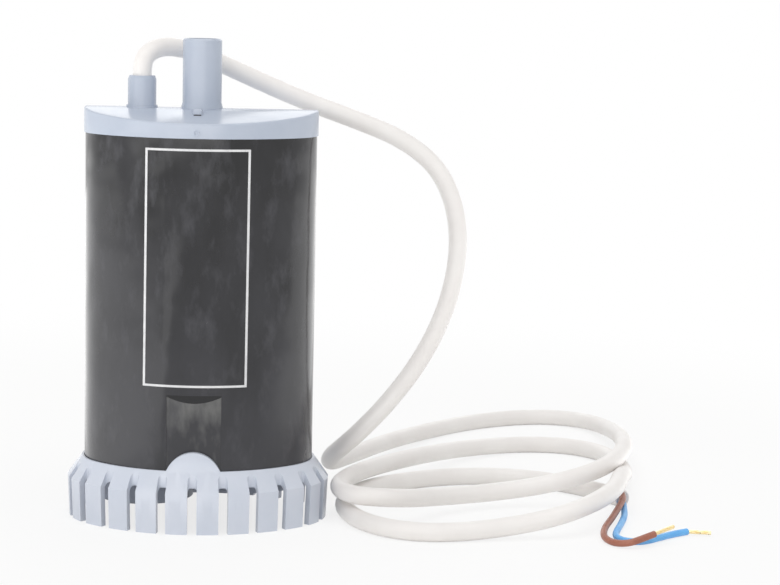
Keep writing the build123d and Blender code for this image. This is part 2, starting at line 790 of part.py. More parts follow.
    # Copper commutator with three segments on one sleeve
    with BuildPart() as commutator:
        with BuildSketch(axis_plane.offset(commutator_bottom)):
            Circle(commutator_radius)
            Circle(shaft_radius, mode=Mode.SUBTRACT)
        extrude(amount=commutator_length)
        with BuildSketch(axis_plane.offset(commutator_bottom + commutator_slit)):
            for pole in range(pole_count):
                facing = 360 * (pole + 1 / 2) / pole_count
                along = Vector(commutator_radius, 0).rotate(Axis.Z, facing)
                with Locations(Location((along.X, along.Y, 0), (0, 0, facing))):
                    Rectangle(commutator_radius, commutator_slit)
        extrude(amount=commutator_length - commutator_slit, mode=Mode.SUBTRACT)
    finished["commutator_" + side] = commutator

    # Open impeller: swept-back vanes under a disc, with a pointed nose towards the eye
    vane_start = impeller_radius * vane_start_share
    vane_end = impeller_radius * vane_end_share
    vane_bend = (vane_start + vane_end) / 2
    with BuildPart() as impeller:
        with BuildSketch(axis_plane.offset(impeller_bottom)):
            Circle(impeller_hub_radius)
        extrude(amount=impeller_height)
        with BuildSketch(axis_plane.offset(impeller_top - impeller_disc)):
            Circle(impeller_radius)
        extrude(amount=impeller_disc)
        with BuildSketch(axis_plane.offset(impeller_bottom)):
            for vane in range(vane_count):
                facing = 360 * vane / vane_count
                inner_tip = Vector(vane_start / 2, 0).rotate(Axis.Z, facing)
                bend = Vector(vane_bend, 0).rotate(Axis.Z, facing - vane_sweep / 3)
                outer_tip = Vector(vane_end, 0).rotate(Axis.Z, facing - vane_sweep)
                with BuildLine():
                    ThreePointArc(inner_tip, bend, outer_tip)
                trace(line_width=vane_thickness)
        extrude(amount=impeller_height - impeller_disc)
        with BuildSketch(axis_plane.offset(impeller_bottom)):
            Circle(impeller_hub_radius)
        with BuildSketch(axis_plane.offset(impeller_bottom - nose_drop)):
            Circle(nose_radius)
        loft()
        with BuildSketch(axis_plane.offset(impeller_bottom)):
            Circle(shaft_radius)
        extrude(amount=impeller_height, mode=Mode.SUBTRACT)
    finished["impeller_" + side] = impeller

# Capsule lid: one plate over both capsules, with plugs, a wire channel and the riser
riser_top = ceiling_height - lead_seal_height
channel_end = left_middle + channel_gap
with BuildPart() as capsule_lid:
    with BuildSketch(Plane.XY.offset(capsule_top)):
        SlotOverall(motor_spacing + 2 * capsule_radius, 2 * capsule_radius)
    extrude(amount=lid_thickness)
    with BuildSketch(Plane.XY.offset(capsule_top - lid_plug_depth)):
        with Locations((left_middle, 0), (right_middle, 0)):
            Circle(capsule_bore - plug_clearance)
            Circle(capsule_bore - plug_clearance - capsule_wall, mode=Mode.SUBTRACT)
    extrude(amount=lid_plug_depth)
    with BuildSketch(Plane.XY.offset(lid_top)):
        with Locations((-stub_offset, 0)):
            Circle(riser_radius)
    extrude(amount=riser_top - lid_top)
    with BuildSketch(Plane.XY.offset(capsule_top)):
        with Locations((-stub_offset, 0)):
            Circle(riser_bore)
    extrude(amount=riser_top - capsule_top, mode=Mode.SUBTRACT)
    with BuildSketch(Plane.XY.offset(capsule_top + channel_floor)):
        Rectangle(channel_width - 2 * channel_end, channel_width)
    extrude(amount=channel_height, mode=Mode.SUBTRACT)
    with BuildSketch(Plane.XY.offset(capsule_top)):
        with Locations((-channel_end, 0), (channel_end, 0)):
            Rectangle(channel_width, channel_width)
    extrude(amount=channel_floor, mode=Mode.SUBTRACT)
finished["capsule_lid"] = capsule_lid

# Rubber ring that seals the lead between the riser and the cover
with BuildPart() as lead_seal:
    with BuildSketch(Plane.XY.offset(riser_top)):
        with Locations((-stub_offset, 0)):
            Circle(riser_radius)
            Circle(lead_radius, mode=Mode.SUBTRACT)
    extrude(amount=lead_seal_height)
finished["lead_seal"] = lead_seal

# The fixed end of the lead, from the mouth of the stub down into the left capsule
lead_tail_bottom = capsule_top - lead_tail
with BuildPart() as lead_entry:
    with BuildSketch(Plane.XY.offset(lead_tail_bottom)):
        with Locations((-stub_offset, 0)):
            Circle(lead_radius)
    extrude(amount=stub_top - lead_tail_bottom)
finished["lead_entry"] = lead_entry

# Wires inside: each core runs to a tag of the left motor and on to the right motor
tag_y = arm_offset + arm_thickness / 2
tag_step = brush_width / 4
wire_rise = channel_height
channel_wire_y = channel_width / 4
channel_wire_z = capsule_top + channel_floor + channel_height / 2
for colour, turn in (("brown", -1), ("blue", 1)):
    first_run = [
        (-stub_offset, turn * wire_radius * 1.5, lead_tail_bottom),
        (-stub_offset, turn * wire_radius * 1.5, lead_tail_bottom - wire_rise),
        (left_middle - tag_step, turn * tag_y, arm_top + wire_rise),
        (left_middle - tag_step, turn * tag_y, arm_top),
    ]
    second_run = [
        (left_middle + tag_step + wire_radius, turn * tag_y, arm_top),
        (left_middle + tag_step + wire_radius, turn * tag_y, arm_top + wire_rise),
        (channel_end, turn * channel_wire_y, capsule_top - wire_rise),
        (channel_end, turn * channel_wire_y, channel_wire_z),
        (-channel_end, turn * channel_wire_y, channel_wire_z),
        (-channel_end, turn * channel_wire_y, capsule_top - wire_rise),
        (right_middle, turn * tag_y, arm_top + wire_rise),
        (right_middle, turn * tag_y, arm_top),
    ]
    first_tube = cord_tube(first_run, wire_radius)[0]
    second_tube = cord_tube(second_run, wire_radius)[0]
    with BuildPart() as inner_wire:
        add(first_tube.part)
        add(second_tube.part)
    finished["inner_wire_" + colour] = inner_wire

# Route of the lead: out of the stub, over behind the spigot, down beside the foot and round the
# floor in two and a half loose turns
lead_route = [
    (-18.4, 0, 137), (-18.4, 0, 141), (-17, 2.5, 144.5), (-13.4, 7.5, 146.4), (-8, 12.5, 145.9),
    (-0.5, 17.5, 142.8), (11, 20, 137.6), (29.5, 20.5, 129.7), (46.7, 20, 123.8), (62, 20, 118),
    (73.4, 21, 109.6), (79.8, 22, 98), (81.8, 22, 85), (80.3, 21, 71.4), (75.6, 19, 58),
    (68.4, 16, 45), (59.5, 13.5, 33.6), (51.4, 13.5, 24.8), (45.4, 17.5, 18.4), (41.4, 26, 13.2),
    (41, 37.5, 9.2), (47, 57.5, 7), (60.5, 94, 4.6), (75.5, 121.5, 3.1), (91.5, 140, 2.9),
    (108.7, 151.7, 2.9), (125.2, 155.2, 2.9), (139, 146.6, 3.2), (145.9, 122, 4.8), (145.4, 83, 8.8),
    (139.4, 48, 11.9), (131.4, 27.5, 11.5), (120.7, 19.6, 9.4), (108.4, 18.8, 6.6), (94.6, 16.5, 5),
    (80, 8.5, 5.4), (67.5, -6, 7.8), (58.5, -12.5, 9.1), (51, -12.5, 9.5), (46.1, -8, 9.6),
    (44.1, -0.5, 9.6), (45.2, 8.5, 9.6), (51, 24.5, 9.4), (63.2, 48.2, 7.8), (78.6, 75.8, 5.2),
    (94.5, 94.6, 3.4), (111.4, 103.2, 2.9), (127.5, 101.2, 2.9), (139.1, 88.7, 2.9),
    (143.3, 66.5, 2.9), (141.2, 44.5, 5.2), (137.4, 24, 9.6), (130.9, 0, 10), (120.2, -18.7, 9),
    (107.9, -23.5, 6), (95, -24.5, 3.6), (81.6, -28.6, 2.9), (68.8, -30.1, 2.9),
    (56.8, -25.1, 2.9), (47.9, -11.5, 2.9), (45.2, 7.8, 2.9), (51, 24.5, 2.9), (63.8, 38, 2.9),
    (77.4, 46.2, 2.9), (92.5, 49.9, 2.9), (107.6, 47.4, 2.9), (120.6, 39, 2.9), (130.2, 28.8, 2.9),
    (136, 19.6, 2.9),
]
# The two cores leave the lead's end one above the other and cross on the floor
brown_route = [
    (136, 19.6, 4.15), (137.74, 16.84, 4.15), (136.8, 10.4, 3.9), (133.3, 2, 3.4),
    (129.3, -8, 2.5), (126.3, -16, 1.6), (124.8, -23, 1.1), (124.8, -29.6, 1.3),
    (127, -35.4, 2), (131.4, -37.6, 3.1), (135.6, -35.6, 3.8), (140.2, -32, 4.2),
]
blue_route = [
    (136, 19.6, 1.65), (137.74, 16.84, 1.65), (137.4, 10, 1.3), (135.4, 0, 1.1),
    (131.8, -11, 1.2), (129.2, -19.5, 1.1), (128.2, -26.5, 1.2), (129.8, -31.4, 1.1),
    (133.4, -33.2, 1.2), (137.6, -31, 1.1), (142.4, -26, 1.2), (147.8, -20.6, 1.1),
    (153, -17.6, 1.1),
]


# Least gap between stretches of a cord that lie more than a few diameters apart along it
def least_gap(wire, radius, length):
    count = int(length / radius)
    points = [wire @ (number / count) for number in range(count + 1)]
    skip = ceil(pi * 2 * radius / (length / count))
    return min(
        (points[first] - points[second]).length - 2 * radius
        for first in range(count + 1)
        for second in range(first + skip, count + 1)
    )


# The bare conductor beyond the cut end of a core
def bare_tip(route):
    last = Vector(*route[-1])
    along = (last - Vector(*route[-2])).normalized()
    with BuildPart() as tip:
        with BuildSketch(Plane(origin=last, z_dir=along)):
            Circle(conductor_radius)
        extrude(amount=bare_length)
    return tip


for name, route, radius in (
    ("lead", lead_route, lead_radius),
    ("core_brown", brown_route, core_radius),
    ("core_blue", blue_route, core_radius),
):
    tube, wire = cord_tube(route, radius)
    finished[name] = tube
    volume_share = tube.part.volume / (pi * radius**2 * wire.length)
    print(name, "length", round(wire.length, 1), "volume share", round(volume_share, 4))
    print(name, "least gap to itself", round(least_gap(wire, radius, wire.length), 2))
    print(name, "bend radii", [round(bend, 1) for bend in bend_radii(route)])
finished["conductor_brown"] = bare_tip(brown_route)
finished["conductor_blue"] = bare_tip(blue_route)

for name, piece in finished.items():
    piece.part.label = name
    export_step(piece.part, f"parts/{name}.step")
print(len(finished), "pieces written")
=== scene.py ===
import json
import math
import bmesh
import bpy
from mathutils import Matrix, Vector
from mathutils.bvhtree import BVHTree


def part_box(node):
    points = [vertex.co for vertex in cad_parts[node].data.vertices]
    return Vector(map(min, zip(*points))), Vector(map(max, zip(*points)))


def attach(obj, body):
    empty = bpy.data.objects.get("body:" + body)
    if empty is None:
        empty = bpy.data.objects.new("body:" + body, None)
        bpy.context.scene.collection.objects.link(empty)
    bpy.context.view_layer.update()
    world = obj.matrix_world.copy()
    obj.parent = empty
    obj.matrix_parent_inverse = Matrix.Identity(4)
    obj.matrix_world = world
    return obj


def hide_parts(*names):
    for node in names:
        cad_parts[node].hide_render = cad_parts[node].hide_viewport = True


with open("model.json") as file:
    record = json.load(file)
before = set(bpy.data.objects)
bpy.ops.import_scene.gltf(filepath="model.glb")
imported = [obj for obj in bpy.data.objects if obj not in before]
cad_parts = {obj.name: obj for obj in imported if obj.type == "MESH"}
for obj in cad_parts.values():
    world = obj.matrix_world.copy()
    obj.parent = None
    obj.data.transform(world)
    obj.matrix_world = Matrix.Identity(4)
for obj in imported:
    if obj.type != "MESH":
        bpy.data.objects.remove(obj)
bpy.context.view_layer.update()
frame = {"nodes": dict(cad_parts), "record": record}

# Looks of a submersible pump with an oval housing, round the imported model.
# Metres, as the frame: +X along the oval, +Y to the back, +Z up, the floor at zero.
mm = 0.001


# Colours are written as sRGB hex values, and the shaders take linear ones, by the standard's own curve
def toLinear(hexColour):
    parts = [int(hexColour[place:place + 2], 16) / 255 for place in (1, 3, 5)]
    return [part / 12.92 if part <= 0.04045 else ((part + 0.055) / 1.055) ** 2.4 for part in parts] + [1]


# One node with its settings, its values and its links. A Mix node's inputs go by number: 0 is the
# share, 2 and 3 are two plain values, 6 and 7 are two colours.
def addNode(tree, kind, settings=None, inputs=None):
    node = tree.nodes.new(kind)
    for name, value in (settings or {}).items():
        setattr(node, name, value)
    for name, value in (inputs or {}).items():
        if isinstance(value, bpy.types.NodeSocket):
            tree.links.new(value, node.inputs[name])
        else:
            node.inputs[name].default_value = value
    return node


# A new material with its tree, its shader and the object's own coordinates
def startMaterial(name, values):
    material = bpy.data.materials.new(name)
    material.use_nodes = True
    tree = material.node_tree
    tree.nodes.clear()
    shader = addNode(tree, "ShaderNodeBsdfPrincipled", inputs=values)
    addNode(tree, "ShaderNodeOutputMaterial", inputs={"Surface": shader.outputs["BSDF"]})
    place = addNode(tree, "ShaderNodeTexCoord").outputs["Object"]
    return material, tree, shader, place


# Two close tones in soft clouds so many millimetres across, duller where the second tone lies
def mottleSurface(tree, shader, place, look):
    clouds = addNode(tree, "ShaderNodeTexNoise", inputs={
        "Vector": place, "Scale": 1 / (look["cloudSize"] * mm),
        "Detail": look["cloudDetail"], "Roughness": look["cloudRoughness"]})
    low, high = look["cloudSpread"]
    spread = addNode(tree, "ShaderNodeMapRange", inputs={
        "Value": clouds.outputs["Fac"], "From Min": low, "From Max": high}).outputs["Result"]
    tones = addNode(tree, "ShaderNodeMix", {"data_type": "RGBA"}, {
        0: spread, 6: toLinear(look["colour"]), 7: toLinear(look["cloud"])})
    tree.links.new(tones.outputs[2], shader.inputs["Base Color"])
    smooth, dull = look["roughness"]
    dulling = addNode(tree, "ShaderNodeMapRange", inputs={
        "Value": spread, "To Min": smooth, "To Max": dull})
    tree.links.new(dulling.outputs["Result"], shader.inputs["Roughness"])


# Fine unevenness of the surface: its size across and its height in millimetres, and how it is
# drawn out
def grainSurface(tree, shader, place, look):
    drawn = addNode(tree, "ShaderNodeMapping", inputs={"Vector": place, "Scale": look["drawn"]})
    grains = addNode(tree, "ShaderNodeTexNoise", inputs={
        "Vector": drawn.outputs["Vector"], "Scale": 1 / (look["grainSize"] * mm),
        "Detail": look["grainDetail"]})
    relief = addNode(tree, "ShaderNodeBump", inputs={
        "Height": grains.outputs["Fac"], "Distance": look["grainHeight"] * mm, "Strength": 1})
    tree.links.new(relief.outputs["Normal"], shader.inputs["Normal"])


# Glossy black ABS tube, moulded and handled: almost black, so that it shows the bright room at its
# edges, with slow ripples in that mirror, dust patches, slanting wipes, and painted reflection lighter
# towards the bottom
blackHousing = {
    "name": "glossyBlackAbs", "black": "#121215", "filmAndReflection": "#37373c", "wipe": "#45454a",
    "filmSize": 14, "filmDetail": 5, "filmRoughness": 0.5, "filmDrawn": (1, 1, 0.45),
    "filmSpread": (0.35, 0.65), "patchy": 0.22,
    "reflectionFrom": 125, "reflectionTo": 15, "paintedReflection": (0.15, 0.75),
    "wipeSize": 7, "wipeDetail": 6, "wipeRoughness": 0.6, "wipeSlant": 35, "wipeDrawn": (1.4, 1, 0.6),
    "wipeSpread": (0.52, 0.85),
    "ior": 1.52, "gloss": 0.13, "filmDullness": 0.24, "wipeDullness": 0.32,
    "dustGlow": 0.12, "dustRoughness": 0.3,
    "rippleSize": 15, "rippleHeight": 0.5, "rippleDetail": 1,
    "hairSize": 0.9, "hairHeight": 0.003, "hairDetail": 3,
}
# Above the latch the tube dips into a flat recess. Its slope is plain black without dust, as painted
# shade under the overhang, and just below that the flat has scuff smears and a lighter painted
# reflection, fading downwards.
shadedSlope = {
    **blackHousing, "name": "paintedShadeBlackAbs", "wipe": "#121215", "patchy": 0,
    "paintedReflection": (0, 0), "dustGlow": 0}
# The flat: scuff smears, and in the same lighter tone a painted reflection just under the slope, fading
# downwards
scuffedReflectingFlat = {
    **blackHousing, "name": "scuffedBlackAbsPaintedReflection", "black": "#333337", "filmAndReflection": "#6a6a69",
    "filmSize": 4, "filmDrawn": (1, 1, 0.4), "patchy": 0.35,
    "reflectionFrom": 30, "reflectionTo": 40, "paintedReflection": (0, 0.75)}


def makeBlackAbs(look):
    material, tree, shader, place = startMaterial(look["name"], {
        "IOR": look["ior"], "Sheen Weight": look["dustGlow"], "Sheen Roughness": look["dustRoughness"]})
    upright = addNode(tree, "ShaderNodeMapping", inputs={"Vector": place, "Scale": look["filmDrawn"]})
    films = addNode(tree, "ShaderNodeTexNoise", inputs={
        "Vector": upright.outputs["Vector"], "Scale": 1 / (look["filmSize"] * mm),
        "Detail": look["filmDetail"], "Roughness": look["filmRoughness"]})
    low, high = look["filmSpread"]
    patches = addNode(tree, "ShaderNodeMapRange", inputs={
        "Value": films.outputs["Fac"], "From Min": low, "From Max": high,
        "To Min": -look["patchy"], "To Max": look["patchy"]})
    # Painted reflection: a share of the lighter tone that grows between two heights, on the tube towards
    # the floor and on the recess's flat just under its slope
    height = addNode(tree, "ShaderNodeSeparateXYZ", inputs={"Vector": place}).outputs["Z"]
    thin, thick = look["paintedReflection"]
    paintedReflection = addNode(tree, "ShaderNodeMapRange", inputs={
        "Value": height, "From Min": look["reflectionFrom"] * mm, "From Max": look["reflectionTo"] * mm,
        "To Min": thin, "To Max": thick})
    dustAndReflection = addNode(tree, "ShaderNodeMath", {"operation": "ADD", "use_clamp": True}, {
        0: patches.outputs["Result"], 1: paintedReflection.outputs["Result"]}).outputs["Value"]
    slanted = addNode(tree, "ShaderNodeMapping", inputs={
        "Vector": place, "Rotation": (0, math.radians(look["wipeSlant"]), 0),
        "Scale": look["wipeDrawn"]})
    wipes = addNode(tree, "ShaderNodeTexNoise", inputs={
        "Vector": slanted.outputs["Vector"], "Scale": 1 / (look["wipeSize"] * mm),
        "Detail": look["wipeDetail"], "Roughness": look["wipeRoughness"]})
    low, high = look["wipeSpread"]
    wiped = addNode(tree, "ShaderNodeMapRange", inputs={
        "Value": wipes.outputs["Fac"], "From Min": low, "From Max": high}).outputs["Result"]
    base = addNode(tree, "ShaderNodeMix", {"data_type": "RGBA"}, {
        0: dustAndReflection, 6: toLinear(look["black"]), 7: toLinear(look["filmAndReflection"])})
    worn = addNode(tree, "ShaderNodeMix", {"data_type": "RGBA"}, {
        0: wiped, 6: base.outputs[2], 7: toLinear(look["wipe"])})
    tree.links.new(worn.outputs[2], shader.inputs["Base Color"])
    dull = addNode(tree, "ShaderNodeMapRange", inputs={
        "Value": dustAndReflection, "To Min": look["gloss"], "To Max": look["filmDullness"]})
    duller = addNode(tree, "ShaderNodeMix", {"data_type": "FLOAT"}, {
        0: wiped, 2: dull.outputs["Result"], 3: look["wipeDullness"]})
    tree.links.new(duller.outputs[0], shader.inputs["Roughness"])
    ripples = addNode(tree, "ShaderNodeTexNoise", inputs={
        "Vector": place, "Scale": 1 / (look["rippleSize"] * mm), "Detail": look["rippleDetail"]})
    waves = addNode(tree, "ShaderNodeBump", inputs={
        "Height": ripples.outputs["Fac"], "Distance": look["rippleHeight"] * mm, "Strength": 1})
    hairs = addNode(tree, "ShaderNodeTexNoise", inputs={
        "Vector": slanted.outputs["Vector"], "Scale": 1 / (look["hairSize"] * mm),
        "Detail": look["hairDetail"]})
    relief = addNode(tree, "ShaderNodeBump", inputs={
        "Height": hairs.outputs["Fac"], "Distance": look["hairHeight"] * mm, "Strength": 1,
        "Normal": waves.outputs["Normal"]})
    tree.links.new(relief.outputs["Normal"], shader.inputs["Normal"])
    return material


# Finish of each material slot but the housing's. Sizes are in millimetres, and a grain too fine
# for the render is drawn as coarse as it needs to show.
evenGrain = {
    "metallic": 0, "drawn": (1, 1, 1), "grainSize": 0.8, "grainHeight": 0.01, "grainDetail": 2,
    "cloudSize": 6, "cloudDetail": 4, "cloudRoughness": 0.6, "cloudSpread": (0.36, 0.64),
}
finishLooks = {
    "pale": {  # the cover: polished mould, a clear soft gloss and faint orange peel
        "name": "paleMouldedAbs", "colour": "#bbc3d1", "cloud": "#b5becd", "roughness": (0.19, 0.27),
        "cloudSize": 15, "grainSize": 2.2, "grainHeight": 0.006},
    "sheath": {  # extruded round the cores: satin, a little dusty and uneven to the touch
        "name": "whitePvcSheath", "colour": "#f5f2ef", "cloud": "#f0ece9", "roughness": (0.36, 0.5),
        "cloudSize": 20, "grainSize": 1.5, "grainHeight": 0.012},
    "brown_insulation": {  # thin extruded sleeve: satin, with the strands' ripple just showing
        "name": "brownPvcInsulation", "colour": "#ad6e58", "cloud": "#9c604d", "roughness": (0.32, 0.42),
        "cloudSize": 5, "grainSize": 0.9, "grainHeight": 0.02},
    "blue_insulation": {  # as the brown one
        "name": "bluePvcInsulation", "colour": "#74bffa", "cloud": "#69b6f6", "roughness": (0.32, 0.42),
        "cloudSize": 5, "grainSize": 0.9, "grainHeight": 0.02},
    "conductor": {  # fine drawn strands, bright on their crowns
        "name": "tinnedCopperStrand", "colour": "#f7e9c4", "cloud": "#e9d29a", "roughness": (0.34, 0.44),
        "metallic": 1, "cloudSize": 1.5, "grainSize": 0.3, "grainHeight": 0.004},
    "pump_plastic": {  # the casings behind the slots: pale like the cover, lifted further as painted light for the dim inside, duller from the water
        "name": "paleMouldedAbsPaintedLight", "colour": "#c8cdd8", "cloud": "#bfc5d1", "roughness": (0.36, 0.48)},
    "impeller_plastic": {  # natural moulded acetal: milky and slick
        "name": "naturalAcetal", "colour": "#e4e3da", "cloud": "#d9d8ce", "roughness": (0.33, 0.42)},
    "capsule_plastic": {  # moulded polypropylene: waxy
        "name": "greyPolypropylene", "colour": "#8d9094", "cloud": "#84878b", "roughness": (0.4, 0.5)},
    "seal_rubber": {  # moulded nitrile: matt, with bloom
        "name": "nitrileRubber", "colour": "#1c1c1d", "cloud": "#2a2a2b", "roughness": (0.55, 0.7)},
    "motor_steel": {  # deep-drawn and zinc plated: bright, with upright draw lines
        "name": "zincPlatedSteel", "colour": "#b9bcc0", "cloud": "#a9adb2", "roughness": (0.26, 0.38),
        "metallic": 1, "drawn": (1, 1, 0.05), "grainSize": 0.4, "grainHeight": 0.004},
    "shaft_steel": {  # centreless ground: fine rings round the shaft
        "name": "groundSteel", "colour": "#c3c5c8", "cloud": "#b6b8bb", "roughness": (0.16, 0.24),
        "metallic": 1, "drawn": (0.05, 0.05, 1), "grainSize": 0.2, "grainHeight": 0.002},
    "cap_plastic": {  # moulded polyamide: satin white
        "name": "whitePolyamide", "colour": "#e2e0d8", "cloud": "#d8d6cd", "roughness": (0.45, 0.55)},
    "bronze": {  # pressed and sintered: porous and oily
        "name": "sinteredBronze", "colour": "#9c7340", "cloud": "#866033", "roughness": (0.4, 0.55),
        "metallic": 1, "grainSize": 0.25, "grainHeight": 0.02},
    "ferrite": {  # pressed, sintered and ground: dark, dull and pitted
        "name": "sinteredFerrite", "colour": "#3b3c3f", "cloud": "#46474a", "roughness": (0.5, 0.62),
        "grainSize": 0.5, "grainHeight": 0.03},
    "laminations": {  # stacked sheets half a millimetre thick, seen edge on
        "name": "siliconSteelSheet", "colour": "#6d7074", "cloud": "#5d6064", "roughness": (0.36, 0.46),
        "metallic": 1, "drawn": (0.04, 0.04, 1), "grainSize": 0.5, "grainHeight": 0.05},
    "enamel_wire": {  # wound wire a quarter of a millimetre thick, lacquered
        "name": "enamelledCopper", "colour": "#b3562c", "cloud": "#9a4621", "roughness": (0.2, 0.3),
        "metallic": 1, "drawn": (1, 1, 0.06), "grainSize": 0.25, "grainHeight": 0.06},
    "copper": {  # turned: fine rings
        "name": "turnedCopper", "colour": "#c77f57", "cloud": "#b77049", "roughness": (0.22, 0.32),
        "metallic": 1, "drawn": (0.05, 0.05, 1), "grainSize": 0.2, "grainHeight": 0.003},
    "carbon": {  # pressed graphite with copper: soft black
        "name": "copperGraphite", "colour": "#38373a", "cloud": "#2c2b2e", "roughness": (0.55, 0.65)},
    "tag_brass": {  # stamped strip: rolled sheen
        "name": "stampedBrass", "colour": "#c9a65c", "cloud": "#b99550", "roughness": (0.26, 0.36),
        "metallic": 1, "drawn": (1, 1, 0.08), "grainSize": 0.4, "grainHeight": 0.004},
    "capacitor_resin": {  # dipped: rounded and shiny
        "name": "dippedEpoxy", "colour": "#b5782f", "cloud": "#a66c28", "roughness": (0.22, 0.32)},
}


def makeFinish(values):
    look = {**evenGrain, **values}
    material, tree, shader, place = startMaterial(look["name"], {"Metallic": look["metallic"]})
    mottleSurface(tree, shader, place, look)
    grainSurface(tree, shader, place, look)
    return material


finishes = {slot: makeFinish(values) for slot, values in finishLooks.items()}
finishes["housing"] = makeBlackAbs(blackHousing)

# Five more that no slot has. The foot takes the cover's finish painted a shade lighter, as painted light
# from the floor;
# pad-printed ink is flat and a little thin at its edges; the recess over the latch has its slope in
# painted shade and its flat scuffed, with a painted reflection; and the cut strands end in bare dark
# copper.
footAbsPaintedLight = makeFinish({
    **finishLooks["pale"], "name": "paintedLightMouldedAbs", "colour": "#d3d8e3", "cloud": "#ced4e0"})
printInk = makeFinish({
    "name": "whitePrintInk", "colour": "#e6e6e7", "cloud": "#d9d9db", "roughness": (0.4, 0.5),
    "cloudSize": 3, "grainSize": 0.3, "grainHeight": 0.004})
recessFinishes = [makeBlackAbs(shadedSlope), makeBlackAbs(scuffedReflectingFlat)]
cutCopper = makeFinish({
    "name": "cutCopperEnd", "colour": "#a4623a", "cloud": "#7e4527", "roughness": (0.36, 0.46),
    "metallic": 1, "cloudSize": 0.5, "grainSize": 0.2, "grainHeight": 0.02})

slotOf = {part["node"]: part["material_slot"] for part in frame["record"]["subparts"]}
for name, node in frame["nodes"].items():
    node.data.materials.clear()
    node.data.materials.append(finishes[slotOf[name]])
print("materials made")

# Camera where the photograph was taken from, fitted to the housing, the foot and the spigot
photoCamera = {
    "location": (43.418, -680.505, 165.686),
    "yaw": 0.023, "pitch": 0.138, "roll": 0.022,
    "lens": 101.76, "sensor": 36,
    "clip": (0.05, 20),  # metres
}


# A new object in the scene
def placeObject(name, data):
    item = bpy.data.objects.new(name, data)
    bpy.context.scene.collection.objects.link(item)
    return item


# The same from a bmesh, which is used up
def placeMesh(name, mesh):
    data = bpy.data.meshes.new(name)
    mesh.to_mesh(data)
    mesh.free()
    return placeObject(name, data)


def makeCamera():
    look = photoCamera
    yaw, pitch, roll = look["yaw"], look["pitch"], look["roll"]
    forward = Vector((
        math.sin(yaw) * math.cos(pitch), math.cos(yaw) * math.cos(pitch), -math.sin(pitch)))
    level = Vector((math.cos(yaw), -math.sin(yaw), 0))
    upright = level.cross(forward)
    right = level * math.cos(roll) + upright * math.sin(roll)
    up = upright * math.cos(roll) - level * math.sin(roll)
    data = bpy.data.cameras.new("photoCamera")
    data.lens = look["lens"]
    data.sensor_fit = "HORIZONTAL"
    data.sensor_width = look["sensor"]
    data.clip_start, data.clip_end = look["clip"]
    camera = placeObject("photoCamera", data)
    turn = Matrix((right, up, -forward)).transposed().to_4x4()
    camera.matrix_world = Matrix.Translation(Vector(look["location"]) * mm) @ turn
    bpy.context.scene.camera = camera


makeCamera()


sharpAngle = 35  # degrees, past which an edge of a moulded piece reads as an edge


# A visible piece from a bmesh in its own place, with its object at the origin
def finishPiece(name, mesh, materials, body="pump", smoothAngle=sharpAngle):
    bmesh.ops.recalc_face_normals(mesh, faces=mesh.faces)
    for face in mesh.faces:
        face.smooth = True
    for edge in mesh.edges:
        if len(edge.link_faces) == 2:
            edge.smooth = edge.calc_face_angle() < math.radians(smoothAngle)
    piece = placeMesh(name, mesh)
    for material in materials:
        piece.data.materials.append(material)
    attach(piece, body)
    return piece


# The moulded pieces that show, in millimetres: the rounding of their edges, and on two of them what
# the photograph has a little lower than the solid. There the second of three heights comes down by
# the fourth number, and the first and third stay. On the foot that is the cone under the rim, and on
# the cover its lower edge.
mouldedPieces = {
    "housingShell": {"node": "outer_housing", "rounding": 0.25, "body": "pump"},
    "coverMoulding": {
        "node": "top_cover", "rounding": 0.3, "body": "pump", "lowered": (119.8, 119.9, 120, 0.35)},
    "footMoulding": {
        "node": "strainer_foot", "rounding": 0.25, "body": "strainer",
        "lowered": (12.5, 19.6, 24.6, 0.85)},
}
softening = {"mergeWithin": 0.001, "flatAngle": 0.5, "segments": 3}
latchRecess = {
    "halfWidth": 8.31, "top": 42.05, "depth": 1,
    "within": 0.05,  # a face so near to the flat's depth belongs to the flat
    "leastLean": 0.05,  # upward share of the normal from which a face belongs to the slope
    "mostSideways": 0.5,  # sideways share from which it is a flank, and stays as the tube is
}


# The second height comes down by the amount, and what is nearer to the first and third by less
def drawDown(mesh, below, middle, above, amount):
    for corner in mesh.verts:
        height = corner.co.z / mm
        share = min((height - below) / (middle - below), (above - height) / (above - middle))
        corner.co.z -= amount * max(share, 0) * mm


# Gives the recess over the latch its own finishes: the slope the second of the piece's materials, in
# painted shade, and the flat the third, scuffed and with a painted reflection
def markRecess(mesh):
    look = latchRecess
    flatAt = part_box("outer_housing")[1].y - look["depth"] * mm
    mesh.faces.ensure_lookup_table()
    for face in mesh.faces:
        middle = face.calc_center_median()
        inside = abs(middle.x) < look["halfWidth"] * mm and middle.z < look["top"] * mm
        outward = abs(middle.y) - flatAt
        if inside and abs(face.normal.x) < look["mostSideways"] and outward > -look["within"] * mm:
            if outward < look["within"] * mm:
                face.material_index = 2
            elif abs(face.normal.z) > look["leastLean"]:
                face.material_index = 1


